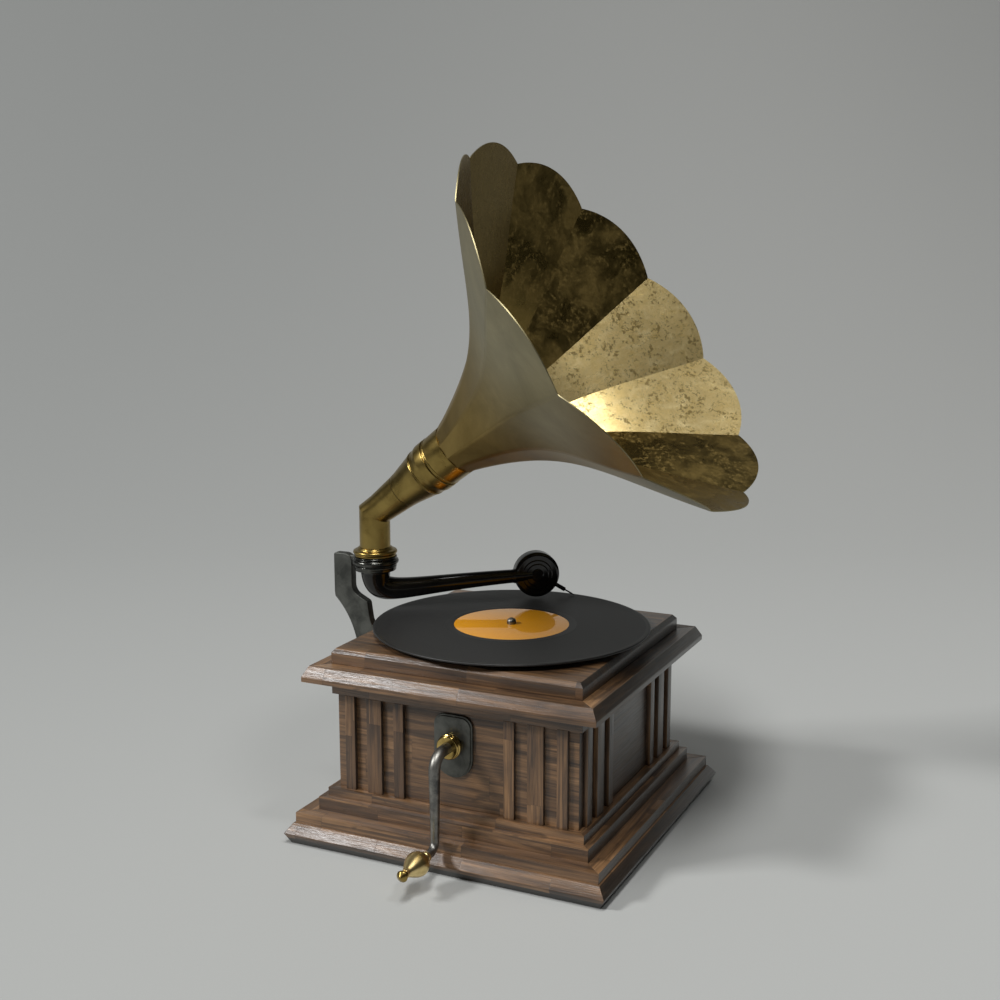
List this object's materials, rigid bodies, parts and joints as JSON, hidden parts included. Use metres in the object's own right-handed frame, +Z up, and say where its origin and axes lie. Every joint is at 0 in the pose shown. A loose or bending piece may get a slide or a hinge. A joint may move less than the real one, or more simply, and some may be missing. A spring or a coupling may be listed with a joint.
{
  "type": "gramophone",
  "caption": "Table gramophone with a petalled brass horn, a stepped wooden cabinet, a winding crank, a record on its platter, and a tonearm with a soundbox.",
  "frame": {"origin": "centre of the cabinet's underside, on the turntable's axis", "axes": "+Z up, the winding crank's face is -Y, the horn's bracket is at -X and the horn opens towards +X"},
  "size_m": [0.3981, 0.3976, 0.6031],
  "materials": {
    "walnut": "satin varnish over stained walnut",
    "plain_wood": "plain, unvarnished",
    "cast_iron": "dark satin enamel",
    "brass": "polished, slightly aged",
    "steel": "polished steel",
    "felt": "felt",
    "shellac": "satin black with fine grooves",
    "label": "orange, plain, glossy",
    "horn_brass": "aged brass with a dark mottled patina",
    "black_enamel": "gloss black",
    "rubber": "soft gaskets",
    "mica": "thin mica sheet",
    "motor_brass": "machined"
  },
  "bodies": {
    "cabinet": {"bottom_board": "plain_wood", "base_moulding_front": "walnut", "base_moulding_right": "walnut", "base_moulding_back": "walnut", "base_moulding_left": "walnut", "front_panel": "walnut", "right_panel": "walnut", "back_panel": "walnut", "left_panel": "walnut", "battens": "walnut", "neck_moulding": "walnut", "lid_moulding_front": "walnut", "lid_moulding_right": "walnut", "lid_moulding_back": "walnut", "lid_moulding_left": "walnut", "motor_board": "walnut", "escutcheon": "cast_iron", "crank_bush": "brass", "bracket": "cast_iron", "bracket_screws": "steel", "swivel_collar": "steel", "motor_plate_top": "motor_brass", "motor_plate_bottom": "motor_brass", "motor_pillars": "steel"},
    "turntable": {"platter": "steel", "felt_mat": "felt", "record": "shellac", "record_label": "label", "spindle": "steel"},
    "crank": {"winding_crank": "steel", "handle_cap": "brass"},
    "handle": {"crank_handle": "brass"},
    "horn": {"horn_ferrule": "horn_brass", "horn_elbow": "horn_brass", "horn_neck": "horn_brass", "horn_throat": "horn_brass", "horn_petal_1": "horn_brass", "horn_petal_2": "horn_brass", "horn_petal_3": "horn_brass", "horn_petal_4": "horn_brass", "horn_petal_5": "horn_brass", "horn_petal_6": "horn_brass", "horn_petal_7": "horn_brass", "horn_petal_8": "horn_brass", "horn_petal_9": "horn_brass", "horn_petal_10": "horn_brass", "horn_petal_11": "horn_brass", "horn_petal_12": "horn_brass"},
    "arm": {"tonearm": "black_enamel"},
    "soundbox": {"soundbox_case": "black_enamel", "soundbox_ring": "cast_iron", "soundbox_gaskets": "rubber", "diaphragm": "mica", "stylus_bar": "steel", "needle_screw": "brass", "needle": "steel"},
    "barrel": {"spring_barrel": "motor_brass"},
    "arbor": {"barrel_arbor": "steel"},
    "second": {"second_arbor": "motor_brass"},
    "governor_body": {"governor": "motor_brass"}
  },
  "joints": [
    {"name": "turntable_spin", "type": "hinge", "parent": "cabinet", "child": "turntable", "pos_m": [0, 0, 0.16], "axis": [0, 0, 1], "continuous": true},
    {"name": "crank_turn", "type": "hinge", "parent": "cabinet", "child": "crank", "pos_m": [0, -0.12, 0.104], "axis": [0, 1, 0], "continuous": true},
    {"name": "handle_spin", "type": "hinge", "parent": "crank", "child": "handle", "pos_m": [0, -0.185, 0.0235], "axis": [0, 1, 0], "continuous": true},
    {"name": "horn_swivel", "type": "hinge", "parent": "cabinet", "child": "horn", "pos_m": [-0.1413, 0, 0.2265], "axis": [0, 0, 1], "range_deg": [-180, 180]},
    {"name": "tonearm_swing", "type": "hinge", "parent": "cabinet", "child": "arm", "pos_m": [-0.1413, 0, 0.2175], "axis": [0, 0, 1], "range_deg": [-26, 60]},
    {"name": "soundbox_turn", "type": "hinge", "parent": "arm", "child": "soundbox", "pos_m": [-0.03574, 0.07502, 0.203], "axis": [0.8144, 0.5788, 0.0418], "range_deg": [0, 150]},
    {"name": "barrel_turn", "type": "hinge", "parent": "cabinet", "child": "barrel", "pos_m": [0, -0.05208, 0.13], "axis": [0, 0, 1], "continuous": true},
    {"name": "barrel_arbor_turn", "type": "hinge", "parent": "cabinet", "child": "arbor", "pos_m": [0, -0.05208, 0.104], "axis": [0, 0, 1], "continuous": true},
    {"name": "second_arbor_turn", "type": "hinge", "parent": "cabinet", "child": "second", "pos_m": [0.02884, -0.02155, 0.14], "axis": [0, 0, 1], "continuous": true},
    {"name": "governor_turn", "type": "hinge", "parent": "cabinet", "child": "governor_body", "pos_m": [-0.03014, 0.0174, 0.12], "axis": [0, 0, 1], "continuous": true}
  ],
  "couplings": [
    {"joint": "second_arbor_turn", "follows": "turntable_spin", "ratio": -0.2},
    {"joint": "barrel_turn", "follows": "turntable_spin", "ratio": 0.033333},
    {"joint": "governor_turn", "follows": "turntable_spin", "ratio": -6.25},
    {"joint": "barrel_arbor_turn", "follows": "crank_turn", "ratio": 0.7}
  ]
}
